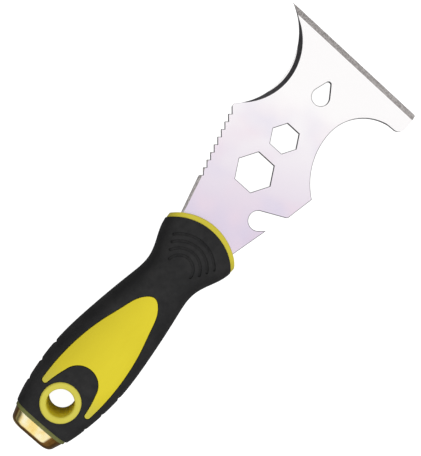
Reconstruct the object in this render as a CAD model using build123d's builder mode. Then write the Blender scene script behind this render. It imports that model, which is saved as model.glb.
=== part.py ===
from build123d import *
from math import copysign, cos, pi, radians, sin, tan
import os

# Painters multi tool: one stainless blade with a full tang, held in a handle of a hard
# yellow core, a soft black grip, two yellow inlays, a hang hole sleeve and a hammer cap.
# Frame, in millimetres: the origin is the middle of the hang hole, halfway through the
# blade. +X runs to the scraping edge, +Y to the saw teeth, +Z out of the front face.

# --- Driving dimensions: blade -----------------------------------------------------------
blade_thickness = 2.2
edge_x = 199.0             # scraping edge, measured from the hang hole
edge_width = 75.0
edge_land = 0.3            # thickness left at a ground edge
edge_bevel = 3.0           # width of the scraping edge's bevel
neck_bevel_angle = 35.0    # degrees from the front face
deburr = 0.25              # along the stamped edges
head_y = 2.8               # the head's middle stands off the handle's centre line
big_hex = 16.0             # wrench openings, across flats
small_hex = 12.0
tooth_count = 9
tooth_angle = 25.7         # degrees between a tooth's long flank and the row of teeth
throat_radius = 4.5        # bottle opener
puller_radius = 4.1        # nail puller's round end
puller_tip_radius = 1.2
tang_half_width = 8.5
eye_radius = 12.8          # tang around the hang hole
eye_gap = 0.5              # core between the tang's eye and the sleeve
lock_hole_radius = 3.0     # holes in the tang that the core fills
tang_end_x = -18.0

# --- Driving dimensions: handle ----------------------------------------------------------
grip_wall = 2.2            # soft grip over the core
butt_x = -13.8             # the hammer cap meets the core here
rim_length = 1.7           # core showing between the grip and the cap
rim_extra_width = 0.8      # the rim stands out past the cap
rim_extra_thickness = 0.2
nose_x = 97.9              # front of the grip, on the centre line
nose_radius = 25.5
collar_length = 2.6        # core showing in front of the grip
cap_end_x = -20.2
cap_width = 26.4
cap_thickness = 20.4
sleeve_radius = 8.9
sleeve_half_length = 13.3
hang_hole_radius = 6.0
lip_radius = 1.0
inlay_y = -0.6             # the inlays sit a little off the centre line
inlay_gap = 0.25           # between an inlay and the grip
inlay_proud = 0.1          # the inlays stand out of the grip by this much
rib_center_x = 76.0        # thumb ribs: concentric grooves behind the nose
rib_width = 1.2
rib_depth = 0.6
notch_depth = 0.9          # finger notches in the sides of the grip
notch_half_width = 1.3
shoulder_radius = 3.0      # where the grip's sides meet the nose

# Each thumb rib's radius, and the degrees that it spans each way from the centre line.
thumb_ribs = [(6.2, 85), (9.3, 66), (12.3, 56), (15.4, 50)]

# Where the finger notches are: x, and half the grip's width there.
finger_notches = [(-2.8, 16.8), (6.7, 18.2), (16.7, 18.85)]

# Where the handle's cross-section is set: x, half width, half thickness, squareness.
handle_stations = [
    (butt_x, 13.8, 10.6, 3.4),
    (-4, 16.6, 11.8, 3.0),
    (8, 18.35, 12.7, 2.7),
    (20, 18.85, 13.0, 2.5),
    (34, 17.8, 12.8, 2.4),
    (48, 15.95, 12.0, 2.4),
    (60, 14.0, 11.0, 2.4),
    (69, 12.85, 10.5, 2.4),
    (76, 14.1, 10.7, 2.4),
    (82, 16.7, 11.0, 2.5),
    (88, 18.7, 11.2, 2.6),
    (95, 19.1, 10.3, 2.7),
    (104, 19.0, 8.4, 2.8),
]
section_points = 24

top = blade_thickness / 2
far = 40                   # longer than anything that a cut has to go through


# --- Shared shapes -----------------------------------------------------------------------
def section_curve(half_width, half_thickness, squareness):
    """Points of a superellipse: squareness 2 is an ellipse, more is boxier."""
    points = []
    for i in range(section_points):
        angle = 2 * pi * (i + 0.5) / section_points
        y = half_width * copysign(abs(cos(angle)) ** (2 / squareness), cos(angle))
        z = half_thickness * copysign(abs(sin(angle)) ** (2 / squareness), sin(angle))
        points.append((y, z))
    return points


def handle_body(inset):
    """The handle's outer form, drawn in by inset all round, as one lofted solid."""
    with BuildPart() as body:
        for x, half_width, half_thickness, squareness in handle_stations:
            outline = section_curve(half_width - inset, half_thickness - inset, squareness)
            with BuildSketch(Plane.YZ.offset(x)):
                with BuildLine():
                    Spline(outline, periodic=True)
                make_face()
        loft()
    return body.part


def handle_plan(back_x, front_x, corner_radius):
    """The handle seen from the front: square behind, closed by the round nose."""
    side = 19.2
    corner_x = front_x - nose_radius + (nose_radius ** 2 - side ** 2) ** 0.5
    with BuildSketch() as plan:
        with BuildLine():
            Polyline((corner_x, side), (back_x, side), (back_x, -side), (corner_x, -side))
            ThreePointArc((corner_x, -side), (front_x, 0), (corner_x, side))
        make_face()
        fillet(plan.vertices().sort_by(Axis.X)[-2:], corner_radius)
    return plan.sketch


def inlay_plan(grow):
    """A leaf with a round nose, and two legs that clasp the hang hole; grow widens it."""
    leg_x = 1.8 - grow
    leg_inner_y = 10.9 - grow
    leg_tip_radius = 1.2
    bend_x, bend_y = 7.2, 10.0 - grow      # between a leg's tip and the crescent
    crescent = (10.3, 0)
    crescent_radius = 8.8 - grow
    half = [(leg_x, 13.2), (9, 13.8), (18, 13.8), (27, 13.0), (39, 10.6), (48, 7.9), (57, 4.1)]
    upper = [(x, y + grow) for x, y in half]
    outer = upper + [(59.7 + grow, 0)] + [(x, -y) for x, y in reversed(upper)]
    with BuildSketch() as plan:
        with BuildLine():
            side = Spline(outer)
            inner = CenterArc(crescent, crescent_radius, 78, -156)
            Line(side @ 0, (leg_x, leg_inner_y))
            ThreePointArc((leg_x, leg_inner_y), (bend_x, bend_y), inner @ 0)
            Line(side @ 1, (leg_x, -leg_inner_y))
            ThreePointArc((leg_x, -leg_inner_y), (bend_x, -bend_y), inner @ 1)
        make_face()
        fillet(plan.vertices().sort_by(Axis.X)[:4], leg_tip_radius)
    return plan.sketch


def handle_slice(inset, back_x, front_x, corner_radius):
    """The handle's form, drawn in by inset, between a flat back and the round nose."""
    with BuildPart() as piece:
        add(handle_body(inset))
        with BuildSketch():
            add(handle_plan(back_x, front_x, corner_radius))
        extrude(amount=far, both=True, mode=Mode.INTERSECT)
    return piece.part


# --- Cap pins: they hold the hammer cap to the tang ----------------------------------------
pin_radius = 1.0
pin_x = -11.6
pin_y = 5.5
spigot_half_width = 9.0
spigot_half_thickness = 4.5
spigot_end_x = -9.6

with BuildPart() as cap_pins:
    with Locations((pin_x, pin_y, 0), (pin_x, -pin_y, 0)):
        Cylinder(pin_radius, 2 * spigot_half_thickness)

# --- Hang hole sleeve: a tube with rolled lips, through the whole handle -------------------
with BuildPart() as hang_hole_sleeve:
    wall = sleeve_radius - hang_hole_radius
    with BuildSketch(Plane.XZ) as sleeve_wall:
        with Locations((hang_hole_radius + wall / 2, 0)):
            Rectangle(wall, 2 * sleeve_half_length)
        fillet(sleeve_wall.vertices(), lip_radius)
    revolve(axis=Axis.Z)

# --- Blade and tang ------------------------------------------------------------------------
def flat_face(side):
    """The blade's large flat face: side is 1 for the front and -1 for the back."""
    return blade.faces().filter_by(Axis.Z).sort_by(Axis.Z)[-1 if side == 1 else 0]


with BuildPart() as blade:
    edge_top = Vector(edge_x, head_y + edge_width / 2)
    edge_bottom = Vector(edge_x, head_y - edge_width / 2)
    head_corner = Vector(147.0, 30.0)
    teeth_start = Vector(145.6, 29.8)
    teeth_end = Vector(113.3, 20.2)
    neck_start = Vector(112.8, 20.3)
    neck_top = Vector(90, 13.6)
    neck_bottom = Vector(90, -12.6)
    hook_tip = Vector(114.5, -18.4)
    throat = Vector(115.6, -12.8)
    belly = Vector(125.2, -21.9)
    heel = Vector(138.7, -24.5)
    crescent_top = Vector(165.8, -10.7)
    arm_inner = Vector(187.1, -29.0)
    arm_end = Vector(187.4, edge_bottom.Y - 0.3)
    with BuildSketch() as blade_plan:
        with BuildLine():
            ThreePointArc(edge_top, (170.0, 21.35), head_corner)
            Polyline(head_corner, teeth_start, teeth_end, neck_start, neck_top, neck_bottom, hook_tip)
            opener = CenterArc(throat, throat_radius, 222, -195)
            Line(hook_tip, opener @ 0)
            Polyline(opener @ 1, belly, heel)
            TangentArc(crescent_top, heel, tangent=(-1, 0))
            TangentArc(crescent_top, arm_inner, tangent=(1, 0))
            Polyline(arm_inner, arm_end, edge_bottom, edge_top)
        make_face()
        for corner, radius in [(arm_end, 3.6), (edge_bottom, 0.8), (belly, 1.5)]:
            fillet(blade_plan.vertices().sort_by_distance(corner)[0], radius)
        # tang, with its eye around the hang hole
        with Locations((tang_end_x / 2 + neck_top.X / 2, 0)):
            Rectangle(neck_top.X - tang_end_x, 2 * tang_half_width)
        Circle(eye_radius)
        # wrench openings and nail puller
        with Locations((130.6, head_y)):
            RegularPolygon(big_hex / 2, 6, major_radius=False, rotation=30, mode=Mode.SUBTRACT)
        with Locations((150.8, head_y)):
            RegularPolygon(small_hex / 2, 6, major_radius=False, rotation=30, mode=Mode.SUBTRACT)
        # holes that lock the core to the tang, the eye and the pin holes
        with Locations((30, 0), (50, 0), (70, 0)):
            Circle(lock_hole_radius, mode=Mode.SUBTRACT)
        Circle(sleeve_radius + eye_gap, mode=Mode.SUBTRACT)
        with Locations((pin_x, pin_y), (pin_x, -pin_y)):
            Circle(pin_radius, mode=Mode.SUBTRACT)
    extrude(amount=top, both=True)
    # nail puller: a teardrop that points to the scraping edge
    with BuildSketch() as puller:
        with Locations((175.6, 3.1)):
            Circle(puller_radius)
        with Locations((182.1, 4.2)):
            Circle(puller_tip_radius)
        make_hull()
    extrude(amount=top, both=True, mode=Mode.SUBTRACT)
    # saw teeth: right-angled notches between the head's corner and the neck
    row = teeth_start - teeth_end
    pitch = row.length / tooth_count
    flank = radians(tooth_angle)
    valley = (pitch * sin(flank) ** 2, -pitch * sin(flank) * cos(flank))
    row_plane = Plane(origin=teeth_end, x_dir=row, z_dir=(0, 0, 1))
    with BuildSketch(row_plane) as teeth:
        for i in range(tooth_count):
            with Locations((i * pitch, 0)):
                Polygon((0, 0), valley, (pitch, 0), (pitch / 2, 1), align=None)
    extrude(amount=top, both=True, mode=Mode.SUBTRACT)
    # scraping edge: one flat bevel, ground on the front
    with BuildSketch(Plane.XZ) as edge_grind:
        Polygon((edge_x - edge_bevel, top), (edge_x + 1, top + 1),
                (edge_x + 1, top - blade_thickness), (edge_x, edge_land - top), align=None)
    extrude(amount=2 * far, both=True, mode=Mode.SUBTRACT)
    # concave edge: a crescent ground on the front by a cone
    grind = Edge.make_three_point_arc(Vector(152.6, 25.0), Vector(171.7, 18.8), Vector(196.2, 36.2))
    grind_depth = blade_thickness - edge_land
    with Locations((grind.arc_center.X, grind.arc_center.Y, top - grind_depth / 2)):
        Cone(grind.radius - grind_depth, grind.radius, grind_depth, mode=Mode.SUBTRACT)
    # break the stamped edges outside the handle, on both faces
    for side in (1, -1):
        openings = [wire for wire in flat_face(side).inner_wires() if wire.center().X > nose_x]
        chamfer([e for wire in openings for e in wire.edges()], deburr)
        outline = [e for e in flat_face(side).outer_wire().edges() if nose_x < e.center().X < arm_inner.X]
        chamfer([e for e in outline if e.center().Y < 0 and e.length > 2], deburr)
        chamfer([e for e in outline if e.center().Y > 0 and e.center().X < teeth_start.X], deburr)
    # a bevel ground on the front along the neck, which runs out over the first six teeth
    grind_line = [Vector(88, 12.1, top), Vector(113, 18.9, top), Vector(136, 26.7, top)]
    bevel_reach = 4
    for start, end in zip(grind_line, grind_line[1:]):
        along = end - start
        outward = Vector(-along.Y, along.X)
        drop = bevel_reach * tan(radians(neck_bevel_angle))
        with BuildSketch(Plane(origin=start, x_dir=outward, z_dir=along)):
            Polygon((0, 0), (bevel_reach, 0), (bevel_reach, -drop), align=None)
        extrude(amount=along.length, mode=Mode.SUBTRACT)

# --- Hammer cap: a plated block with a slotted spigot that takes the end of the tang --------
cap_end_width = 21.6
cap_end_thickness = 17.6
cap_corner_radius = 7.5
cap_end_corner_radius = 6.5
cap_end_rounding = 3.2     # round the striking face

with BuildPart() as hammer_cap:
    with BuildSketch(Plane.YZ.offset(butt_x)):
        RectangleRounded(cap_width, cap_thickness, cap_corner_radius)
    with BuildSketch(Plane.YZ.offset(cap_end_x)):
        RectangleRounded(cap_end_width, cap_end_thickness, cap_end_corner_radius)
    loft()
    fillet(hammer_cap.faces().sort_by(Axis.X)[0].edges(), cap_end_rounding)
    with BuildSketch(Plane.YZ.offset(butt_x)):
        Rectangle(2 * spigot_half_width, 2 * spigot_half_thickness)
    extrude(amount=spigot_end_x - butt_x)
    add(blade.part, mode=Mode.SUBTRACT)
    add(cap_pins.part, mode=Mode.SUBTRACT)

# --- Handle core: hard plastic moulded round the tang; it shows as the collar and the rim ---
collar_front_x = nose_x + collar_length
collar_half_thickness = 10.0
collar_rounding = 3.0
collar_inset = 0.3
core_lap = 1.0             # the core runs this far into the collar
core_corner_radius = 2.0
nose_center = Plane((collar_front_x - nose_radius, 0, 0), x_dir=(1, 0, 0), z_dir=(0, -1, 0))

with BuildPart() as collar:
    # a disc with a rounded rim, trimmed by the handle's form
    with BuildSketch(nose_center) as rim_profile:
        with Locations((nose_radius / 2, 0)):
            Rectangle(nose_radius, 2 * collar_half_thickness)
        fillet(rim_profile.vertices().group_by(Axis.X)[-1], collar_rounding)
    revolve(axis=Axis(nose_center.origin, (0, 0, 1)))
    add(handle_body(collar_inset), mode=Mode.INTERSECT)
    with BuildSketch():
        add(handle_plan(butt_x, nose_x, shoulder_radius))
    extrude(amount=far, both=True, mode=Mode.SUBTRACT)

with BuildPart() as handle_core:
    add(handle_slice(grip_wall, butt_x, nose_x + core_lap, core_corner_radius))
    add(collar.part)
    # rim between the grip and the hammer cap
    with BuildSketch(Plane.YZ.offset(butt_x)):
        RectangleRounded(cap_width + rim_extra_width, cap_thickness + rim_extra_thickness, cap_corner_radius)
    extrude(amount=rim_length)
    # room for what the core is moulded round
    with BuildSketch(Plane.YZ.offset(butt_x)):
        Rectangle(2 * spigot_half_width, 2 * spigot_half_thickness)
    extrude(amount=spigot_end_x - butt_x, mode=Mode.SUBTRACT)
    Cylinder(sleeve_radius, far, mode=Mode.SUBTRACT)
    add(blade.part, mode=Mode.SUBTRACT)

# --- Inlays: hard yellow panels, let into the grip on both faces -----------------------------
inlay_plane = Plane((0, inlay_y, 0))


def inlay(side):
    """One inlay: side is 1 for the front face and -1 for the back."""
    with BuildPart() as panel:
        add(handle_body(-inlay_proud))
        with BuildSketch(inlay_plane):
            add(inlay_plan(0))
        extrude(amount=side * far, mode=Mode.INTERSECT)
        add(handle_body(grip_wall), mode=Mode.SUBTRACT)
    return panel


front_inlay = inlay(1)
back_inlay = inlay(-1)

# --- Grip: soft rubber moulded over the core, with two windows -------------------------------
with BuildPart() as rib_cuts:
    # thumb ribs: concentric grooves, shorter towards the nose
    with BuildSketch():
        for radius, reach in thumb_ribs:
            with BuildLine():
                rib = CenterArc((rib_center_x, 0), radius, -reach, 2 * reach)
                offset(rib, amount=rib_width / 2, kind=Kind.ARC)
            make_face()
    extrude(amount=far, both=True)
    add(handle_body(rib_depth), mode=Mode.SUBTRACT)

with BuildPart() as notch_cuts:
    # V-shaped finger notches, which run out where the sides turn to the faces
    spread = notch_half_width * (notch_depth + 1) / notch_depth
    with BuildSketch():
        for x, side in finger_notches:
            for end in (1, -1):
                Polygon((x, end * (side - notch_depth)), (x + spread, end * (side + 1)),
                        (x - spread, end * (side + 1)), align=None)
    extrude(amount=far, both=True)

with BuildPart() as grip:
    add(handle_slice(0, butt_x + rim_length, nose_x, shoulder_radius))
    add(handle_body(grip_wall), mode=Mode.SUBTRACT)
    with BuildSketch(inlay_plane):
        add(inlay_plan(inlay_gap))
    extrude(amount=far, both=True, mode=Mode.SUBTRACT)
    Cylinder(sleeve_radius, far, mode=Mode.SUBTRACT)
    add(rib_cuts.part, mode=Mode.SUBTRACT)
    add(notch_cuts.part, mode=Mode.SUBTRACT)

# --- Write every piece -------------------------------------------------------------------------
pieces = {
    "blade": blade,
    "handle_core": handle_core,
    "grip_overmould": grip,
    "front_inlay": front_inlay,
    "back_inlay": back_inlay,
    "hang_hole_sleeve": hang_hole_sleeve,
    "hammer_cap": hammer_cap,
    "cap_pins": cap_pins,
}
os.makedirs("parts", exist_ok=True)
for node, piece in pieces.items():
    piece.part.label = node
    export_step(piece.part, f"parts/{node}.step")
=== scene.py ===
import math

import bpy
from mathutils import Matrix, Vector

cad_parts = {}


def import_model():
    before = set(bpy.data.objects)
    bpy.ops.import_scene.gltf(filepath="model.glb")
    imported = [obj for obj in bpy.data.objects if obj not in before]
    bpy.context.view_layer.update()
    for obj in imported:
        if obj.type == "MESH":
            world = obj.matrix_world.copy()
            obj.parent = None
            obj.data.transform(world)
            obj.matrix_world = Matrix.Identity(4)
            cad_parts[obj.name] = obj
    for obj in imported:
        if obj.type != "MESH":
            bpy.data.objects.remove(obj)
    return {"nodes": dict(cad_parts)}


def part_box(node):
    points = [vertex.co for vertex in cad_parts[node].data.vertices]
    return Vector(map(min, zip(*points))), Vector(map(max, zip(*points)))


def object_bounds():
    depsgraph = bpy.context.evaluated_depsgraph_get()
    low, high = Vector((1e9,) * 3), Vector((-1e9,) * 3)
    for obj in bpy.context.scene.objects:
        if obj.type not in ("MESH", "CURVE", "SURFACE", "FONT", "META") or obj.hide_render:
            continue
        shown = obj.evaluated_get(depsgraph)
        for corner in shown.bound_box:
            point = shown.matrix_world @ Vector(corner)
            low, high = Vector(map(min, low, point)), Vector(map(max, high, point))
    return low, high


# Painters multi tool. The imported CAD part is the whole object: this script gives each of its
# pieces a procedural material, then adds the floor, the lights and the camera.
# Positions are in metres, and a noise's scale is in features per metre.

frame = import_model()
cad_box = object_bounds()
lowest, highest = cad_box
nodes = frame["nodes"]

# a Mix node has several sockets of each name, so these are told apart by number
COLOUR_A, COLOUR_B, COLOUR_RESULT = 6, 7, 2
NUMBER_A, NUMBER_B, NUMBER_RESULT = 2, 3, 0

WHITE = (1, 1, 1, 1)


# --- Node helpers ----------------------------------------------------------------------------
def put(socket, value):
    """Links value to the socket if it is another node's output, else sets it."""
    if isinstance(value, bpy.types.NodeSocket):
        socket.id_data.links.new(value, socket)
    else:
        socket.default_value = value


class Shader:
    """A new material's node tree, with short ways to add and link its nodes."""

    def __init__(self, name):
        self.material = bpy.data.materials.new(name)
        self.material.use_nodes = True
        self.nodes = self.material.node_tree.nodes
        self.surface = self.nodes["Principled BSDF"]
        self.object_space = self.nodes.new("ShaderNodeTexCoord").outputs["Object"]

    def stretched(self, scale):
        """Object coordinates, scaled per axis, so a pattern can run along one."""
        node = self.nodes.new("ShaderNodeMapping")
        put(node.inputs["Vector"], self.object_space)
        put(node.inputs["Scale"], scale)
        return node.outputs["Vector"]

    def noise(self, scale, detail=3.0, roughness=0.55, vector=None):
        node = self.nodes.new("ShaderNodeTexNoise")
        put(node.inputs["Vector"], vector or self.object_space)
        put(node.inputs["Scale"], scale)
        put(node.inputs["Detail"], detail)
        put(node.inputs["Roughness"], roughness)
        return node.outputs["Fac"]

    def cells(self, scale):
        """The distance to the middle of the nearest of many small cells."""
        node = self.nodes.new("ShaderNodeTexVoronoi")
        put(node.inputs["Vector"], self.object_space)
        put(node.inputs["Scale"], scale)
        return node.outputs["Distance"]

    def remap(self, value, low, high, out_low=0.0, out_high=1.0):
        """Low to high becomes out_low to out_high, and no value goes outside that."""
        node = self.nodes.new("ShaderNodeMapRange")
        put(node.inputs["Value"], value)
        put(node.inputs["From Min"], low)
        put(node.inputs["From Max"], high)
        put(node.inputs["To Min"], out_low)
        put(node.inputs["To Max"], out_high)
        return node.outputs["Result"]

    def math(self, operation, a, b=0.0):
        node = self.nodes.new("ShaderNodeMath")
        node.operation = operation
        put(node.inputs[0], a)
        put(node.inputs[1], b)
        return node.outputs["Value"]

    def mix(self, factor, a, b):
        """A colour mix: a at factor 0, b at factor 1."""
        node = self.nodes.new("ShaderNodeMix")
        node.data_type = "RGBA"
        put(node.inputs["Factor"], factor)
        put(node.inputs[COLOUR_A], a)
        put(node.inputs[COLOUR_B], b)
        return node.outputs[COLOUR_RESULT]

    def part_of(self, vector, axis):
        node = self.nodes.new("ShaderNodeSeparateXYZ")
        put(node.inputs["Vector"], vector)
        return node.outputs[axis]

    def position(self, axis):
        """One coordinate of the point, in the object's own space."""
        return self.part_of(self.object_space, axis)

    def facing(self, axis):
        """How much the surface faces along one axis of the object's own space."""
        normal = self.nodes.new("ShaderNodeTexCoord").outputs["Normal"]
        return self.part_of(normal, axis)

    def radius(self):
        """The point's distance from the Z axis."""
        flat = self.nodes.new("ShaderNodeVectorMath")
        flat.operation = "MULTIPLY"
        put(flat.inputs[0], self.object_space)
        put(flat.inputs[1], (1, 1, 0))
        length = self.nodes.new("ShaderNodeVectorMath")
        length.operation = "LENGTH"
        put(length.inputs[0], flat.outputs["Vector"])
        return length.outputs["Value"]

    def soften(self, edge):
        """The surface's direction, with the edges rounded to this radius."""
        node = self.nodes.new("ShaderNodeBevel")
        node.samples = 6
        put(node.inputs["Radius"], edge)
        return node.outputs["Normal"]

    def bump(self, *layers, normal=None):
        """Bump layers of (height, distance, strength), laid over the direction in normal."""
        for height, distance, strength in layers:
            node = self.nodes.new("ShaderNodeBump")
            put(node.inputs["Height"], height)
            put(node.inputs["Distance"], distance)
            put(node.inputs["Strength"], strength)
            if normal:
                put(node.inputs["Normal"], normal)
            normal = node.outputs["Normal"]
        put(self.surface.inputs["Normal"], normal)

    def set(self, **values):
        for name, value in values.items():
            put(self.surface.inputs[name.replace("_", " ")], value)


def linear(red, green, blue):
    """An sRGB colour from 0 to 255 as the linear RGBA that Blender takes."""
    def channel(value):
        value /= 255
        return value / 12.92 if value <= 0.04045 else ((value + 0.055) / 1.055) ** 2.4
    return channel(red), channel(green), channel(blue), 1.0


def dress(node, shader):
    """Gives a CAD node the shader's material."""
    materials = nodes[node].data.materials
    materials.clear()
    materials.append(shader.material)


# --- Stainless steel: polished faces, darker ground and stamped edges ------------------------
def stainless_steel():
    s = Shader("stainless_steel")

    # the polish is painted lilac near the handle, a painted reflection, and clears to silver
    # towards the head and the teeth
    reflection_tinted_up_to, clear_from = 0.100, 0.168
    y_share = 0.45
    along = s.math("ADD", s.position("X"), s.math("MULTIPLY", s.position("Y"), y_share))
    lilac_reflection, silver = linear(224, 210, 228), linear(255, 253, 253)
    polished = s.mix(s.remap(along, reflection_tinted_up_to, clear_from), lilac_reflection, silver)

    # a faint, uneven haze lies over it, and fades out towards the head
    haze_up_to, haze_ends = 0.150, 0.176
    patches = s.remap(s.noise(34, detail=2), 0.44, 0.62, 0.0, 0.6)
    haze = s.math("MULTIPLY", patches, s.remap(along, haze_ends, haze_up_to))
    pink, blue = linear(238, 220, 233), linear(223, 215, 235)
    tinge = s.mix(s.remap(s.noise(55, detail=1), 0.4, 0.6), pink, blue)
    polished = s.mix(haze, polished, tinge)

    # the surface's direction tells the flat faces from the shallow ground bevels and the
    # steeper rest: the stamped walls, their broken edges and the crescent of the concave edge
    steep_up_to, ground_from = 0.74, 0.79
    ground_up_to, flat_from = 0.95, 0.99
    flat = s.math("ABSOLUTE", s.facing("Z"))
    # the steep faces are painted darker: partly the dull stamped and broken edges, partly
    # painted shade and dark reflection on the edge lines
    steep_dull_and_shade = s.mix(s.noise(500, detail=3), linear(104, 102, 106), linear(156, 154, 157))
    grain = s.noise(1.0, detail=5, roughness=0.7, vector=s.stretched((800, 1500, 800)))
    ground = s.mix(s.remap(grain, 0.38, 0.62), linear(176, 170, 168), linear(238, 232, 230))
    edges = s.mix(s.remap(flat, steep_up_to, ground_from), steep_dull_and_shade, ground)
    colour = s.mix(s.remap(flat, ground_up_to, flat_from), edges, polished)

    # fine lines and a few longer scratches run along the tool
    lines = s.noise(1.0, detail=3, vector=s.stretched((260, 5200, 260)))
    scratches = s.noise(1.0, detail=5, vector=s.stretched((70, 3600, 3600)))
    s.set(Base_Color=colour, Roughness=s.remap(lines, 0.3, 0.7, 0.20, 0.25), Metallic=1.0)
    s.bump(
        (lines, 1e-6, 0.12),
        (s.remap(scratches, 0.66, 0.75), 1e-6, 0.12),
        normal=s.soften(0.0004),
    )
    return s


# --- Cap pins: plain ground steel ------------------------------------------------------------
def pin_steel():
    s = Shader("pin_steel")
    lines = s.noise(1.0, detail=4, vector=s.stretched((2500, 2500, 120)))
    colour = s.mix(lines, linear(176, 174, 172), linear(206, 204, 200))
    s.set(Base_Color=colour, Roughness=s.remap(lines, 0.3, 0.7, 0.28, 0.42), Metallic=1.0)
    s.bump((lines, 3e-6, 0.4))
    return s


# --- Hard yellow plastics: moulded skin with a faint mottle ----------------------------------
def yellow_plastic(name, shade, deep, roughness):
    """A plastic's shader and its colour, before anything else is laid over that."""
    s = Shader(name)
    flow = s.noise(1.0, detail=3, vector=s.stretched((45, 140, 140)))
    skin = s.noise(2600, detail=2)
    satin = s.remap(skin, 0.3, 0.7, roughness - 0.05, roughness + 0.07)
    s.set(Roughness=satin, Specular_IOR_Level=0.22)
    s.bump((skin, 8e-6, 0.35), (s.noise(160, detail=2), 3e-5, 0.3), normal=s.soften(0.0004))
    return s, s.mix(s.remap(flow, 0.3, 0.7, 0.0, 0.35), shade, deep)


def core_plastic():
    shade, deep = linear(216, 202, 62), linear(200, 186, 54)
    s, colour = yellow_plastic("core_plastic", shade, deep, 0.42)
    # the rim at the butt is painted olive and darker: painted shade beside the dark cap
    unshaded_from, shaded_up_to = -0.004, -0.006
    rim_shade_mask = s.remap(s.position("X"), unshaded_from, shaded_up_to)
    painted_rim_shade = s.mix(s.noise(500, detail=3), linear(92, 95, 52), linear(128, 130, 72))
    s.set(Base_Color=s.mix(rim_shade_mask, colour, painted_rim_shade))
    return s


def inlay_plastic():
    shade, deep = linear(230, 213, 44), linear(216, 198, 34)
    s, colour = yellow_plastic("inlay_plastic", shade, deep, 0.45)
    # painted shade makes it a little deeper along the +Y side, and a painted highlight makes
    # it paler at the tips of the legs
    even_up_to, deeper_from = -0.004, 0.010
    side = s.remap(s.position("Y"), even_up_to, deeper_from, 0.0, 0.5)
    colour = s.mix(side, colour, linear(212, 194, 38))
    legs_start, tips_start = 0.012, 0.003
    highlight_tips = s.remap(s.position("X"), legs_start, tips_start, 0.0, 0.6)
    s.set(Base_Color=s.mix(highlight_tips, colour, linear(198, 192, 86)))
    return s


def sleeve_plastic():
    shade, deep = linear(220, 210, 84), linear(200, 188, 62)
    s, colour = yellow_plastic("sleeve_plastic", shade, deep, 0.38)
    # deeper and warmer down the bore, where little light gets in
    lip_depth, fade = 0.0006, 0.0012
    lip_from, wall_up_to = 0.0068, 0.0063
    bore_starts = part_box("hang_hole_sleeve")[1].z - lip_depth
    height = s.math("ABSOLUTE", s.position("Z"))
    depth = s.remap(height, bore_starts, bore_starts - fade)
    wall = s.remap(s.radius(), lip_from, wall_up_to)
    warm = s.mix(s.noise(220, detail=2), linear(244, 230, 62), linear(228, 212, 48))
    s.set(Base_Color=s.mix(s.math("MULTIPLY", depth, wall), colour, warm))
    return s


# --- Grip rubber: black, finely grained, with a little dust ----------------------------------
def grip_rubber():
    s = Shader("grip_rubber")
    grain = s.cells(2600)
    coarse = s.noise(420, detail=4)
    dust = s.remap(s.noise(75, detail=5, roughness=0.7), 0.42, 0.72, 0.0, 0.8)
    colour = s.mix(dust, linear(17, 17, 18), linear(38, 37, 37))
    matte = s.remap(coarse, 0.3, 0.7, 0.5, 0.68)
    s.set(Base_Color=colour, Roughness=matte, Specular_IOR_Level=0.35)
    s.bump((coarse, 2.5e-5, 0.35), (grain, 3e-5, 0.4), normal=s.soften(0.0003))
    return s


# --- Hammer cap: polished brass plating, with painted dark reflection on its sides -----------
def cap_brass():
    s = Shader("cap_brass")
    mottle = s.noise(330, detail=4, roughness=0.65)
    gold = s.mix(s.remap(mottle, 0.35, 0.65), linear(255, 236, 160), linear(250, 216, 132))
    glint = s.remap(s.noise(120, detail=2), 0.50, 0.66, 0.0, 0.85)
    gold = s.mix(glint, gold, linear(255, 250, 218))

    # painted dark reflection: the faces that turn to the sides are painted dark brown, and
    # most on the -Y side
    y_share = 0.35
    dark_reflection_up_to, gold_from = 0.86, 0.93
    broad = s.math("ABSOLUTE", s.facing("Z"))
    striking = s.math("MULTIPLY", s.facing("X"), -1.0)
    face = s.math("MAXIMUM", broad, striking)
    face = s.math("ADD", face, s.math("MULTIPLY", s.facing("Y"), y_share))
    dark_reflection = s.mix(s.noise(700, detail=3), linear(92, 56, 22), linear(150, 112, 58))
    colour = s.mix(s.remap(face, dark_reflection_up_to, gold_from), dark_reflection, gold)

    lines = s.noise(1.0, detail=4, vector=s.stretched((220, 5200, 5200)))
    s.set(Base_Color=colour, Roughness=s.remap(lines, 0.3, 0.7, 0.12, 0.24), Metallic=1.0)
    s.bump((lines, 2e-6, 0.3), (mottle, 1.2e-5, 0.25), normal=s.soften(0.0005))
    return s


inlay = inlay_plastic()
dress("blade", stainless_steel())
dress("cap_pins", pin_steel())
dress("front_inlay", inlay)
dress("back_inlay", inlay)
dress("handle_core", core_plastic())
dress("hang_hole_sleeve", sleeve_plastic())
dress("grip_overmould", grip_rubber())
dress("hammer_cap", cap_brass())


# --- Stage: a pale floor, a studio all round and a soft light --------------------------------
FLOOR_SIZE = 6.0
FLOOR_GLOW = 0.97


def floor():
    """A pale floor under the object. Only the camera sees its glow, which keeps the shadows
    on it faint and doesn't light the object."""
    half = FLOOR_SIZE / 2
    z = lowest.z
    corners = [(-half, -half, z), (half, -half, z), (half, half, z), (-half, half, z)]
    mesh = bpy.data.meshes.new("floor")
    mesh.from_pydata(corners, [], [(0, 1, 2, 3)])
    plane = bpy.data.objects.new("floor", mesh)
    bpy.context.scene.collection.objects.link(plane)

    s = Shader("floor_white")
    grey = s.mix(s.noise(900, detail=2), (0.28, 0.28, 0.28, 1), (0.32, 0.32, 0.32, 1))
    seen = s.nodes.new("ShaderNodeLightPath").outputs["Is Camera Ray"]
    s.set(Base_Color=grey, Roughness=0.9, Specular_IOR_Level=0.0)
    s.set(Emission_Color=WHITE, Emission_Strength=s.math("MULTIPLY", seen, FLOOR_GLOW))
    mesh.materials.append(s.material)


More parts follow.
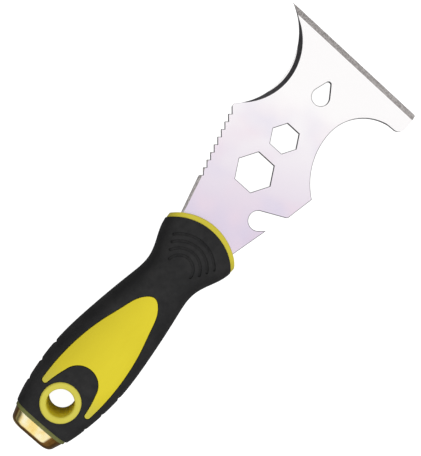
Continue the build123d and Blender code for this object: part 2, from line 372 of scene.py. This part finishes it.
def world():
    """A studio that is bright overhead, half bright low down, and dark low down towards +Y.
    The camera itself sees plain white."""
    sky = bpy.data.worlds.new("studio")
    bpy.context.scene.world = sky
    sky.use_nodes = True
    tree = sky.node_tree

    def node(kind, **inputs):
        made = tree.nodes.new(kind)
        for name, value in inputs.items():
            put(made.inputs[name.replace("_", " ")], value)
        return made

    direction = node("ShaderNodeTexCoord").outputs["Generated"]
    split = node("ShaderNodeSeparateXYZ", Vector=direction)
    overhead = node("ShaderNodeMapRange", Value=split.outputs["Z"],
                    From_Min=0.18, From_Max=0.60, To_Min=0.0, To_Max=0.98)
    overhead.interpolation_type = "SMOOTHSTEP"
    side = node("ShaderNodeMapRange", Value=split.outputs["Y"],
                From_Min=0.45, From_Max=-0.15, To_Min=0.10, To_Max=0.62)
    light = node("ShaderNodeMath")
    light.operation = "MAXIMUM"
    put(light.inputs[0], overhead.outputs["Result"])
    put(light.inputs[1], side.outputs["Result"])

    seen = node("ShaderNodeLightPath").outputs["Is Camera Ray"]
    shown = node("ShaderNodeMix", Factor=seen)
    put(shown.inputs[NUMBER_A], light.outputs["Value"])
    put(shown.inputs[NUMBER_B], 1.0)
    background = tree.nodes["Background"]
    put(background.inputs["Strength"], shown.outputs[NUMBER_RESULT])
    put(background.inputs["Color"], WHITE)


def softbox(name, at, size, power, aim):
    """A wide rectangular lamp at a place, pointed at aim."""
    light = bpy.data.lights.new(name, "AREA")
    light.shape = "RECTANGLE"
    light.size, light.size_y = size
    light.energy = power
    lamp = bpy.data.objects.new(name, light)
    lamp.location = at
    lamp.rotation_mode = "QUATERNION"
    lamp.rotation_quaternion = (Vector(aim) - Vector(at)).to_track_quat("-Z", "Y")
    lamp.visible_glossy = False        # the metal mirrors the studio, not the lamp
    bpy.context.scene.collection.objects.link(lamp)


middle = (lowest + highest) / 2
floor()
world()
softbox("key", at=(0.30, -0.55, 1.1), size=(0.9, 0.9), power=1.6, aim=middle)

# --- Camera: nearly straight above the front face --------------------------------------------
MM = 0.001
EYE = Vector((69.1, 36.4, 470.2)) * MM
LOOK_AT = Vector((99.1, 0.9, 0.0)) * MM
TOOL_TURN = math.radians(48.2)        # the tool's +X axis is turned this far from image right

camera_data = bpy.data.cameras.new("camera")
camera = bpy.data.objects.new("camera", camera_data)
bpy.context.scene.collection.objects.link(camera)
camera_data.sensor_width = 36.0
camera_data.lens = 84.2
camera_data.clip_start = 0.01
back = (EYE - LOOK_AT).normalized()
right = Vector((math.cos(TOOL_TURN), -math.sin(TOOL_TURN), 0.0))
right = (right - right.dot(back) * back).normalized()
up = back.cross(right)
camera.matrix_world = Matrix.Translation(EYE) @ Matrix((right, up, back)).transposed().to_4x4()
bpy.context.scene.camera = camera
bpy.context.scene.view_settings.view_transform = "Standard"
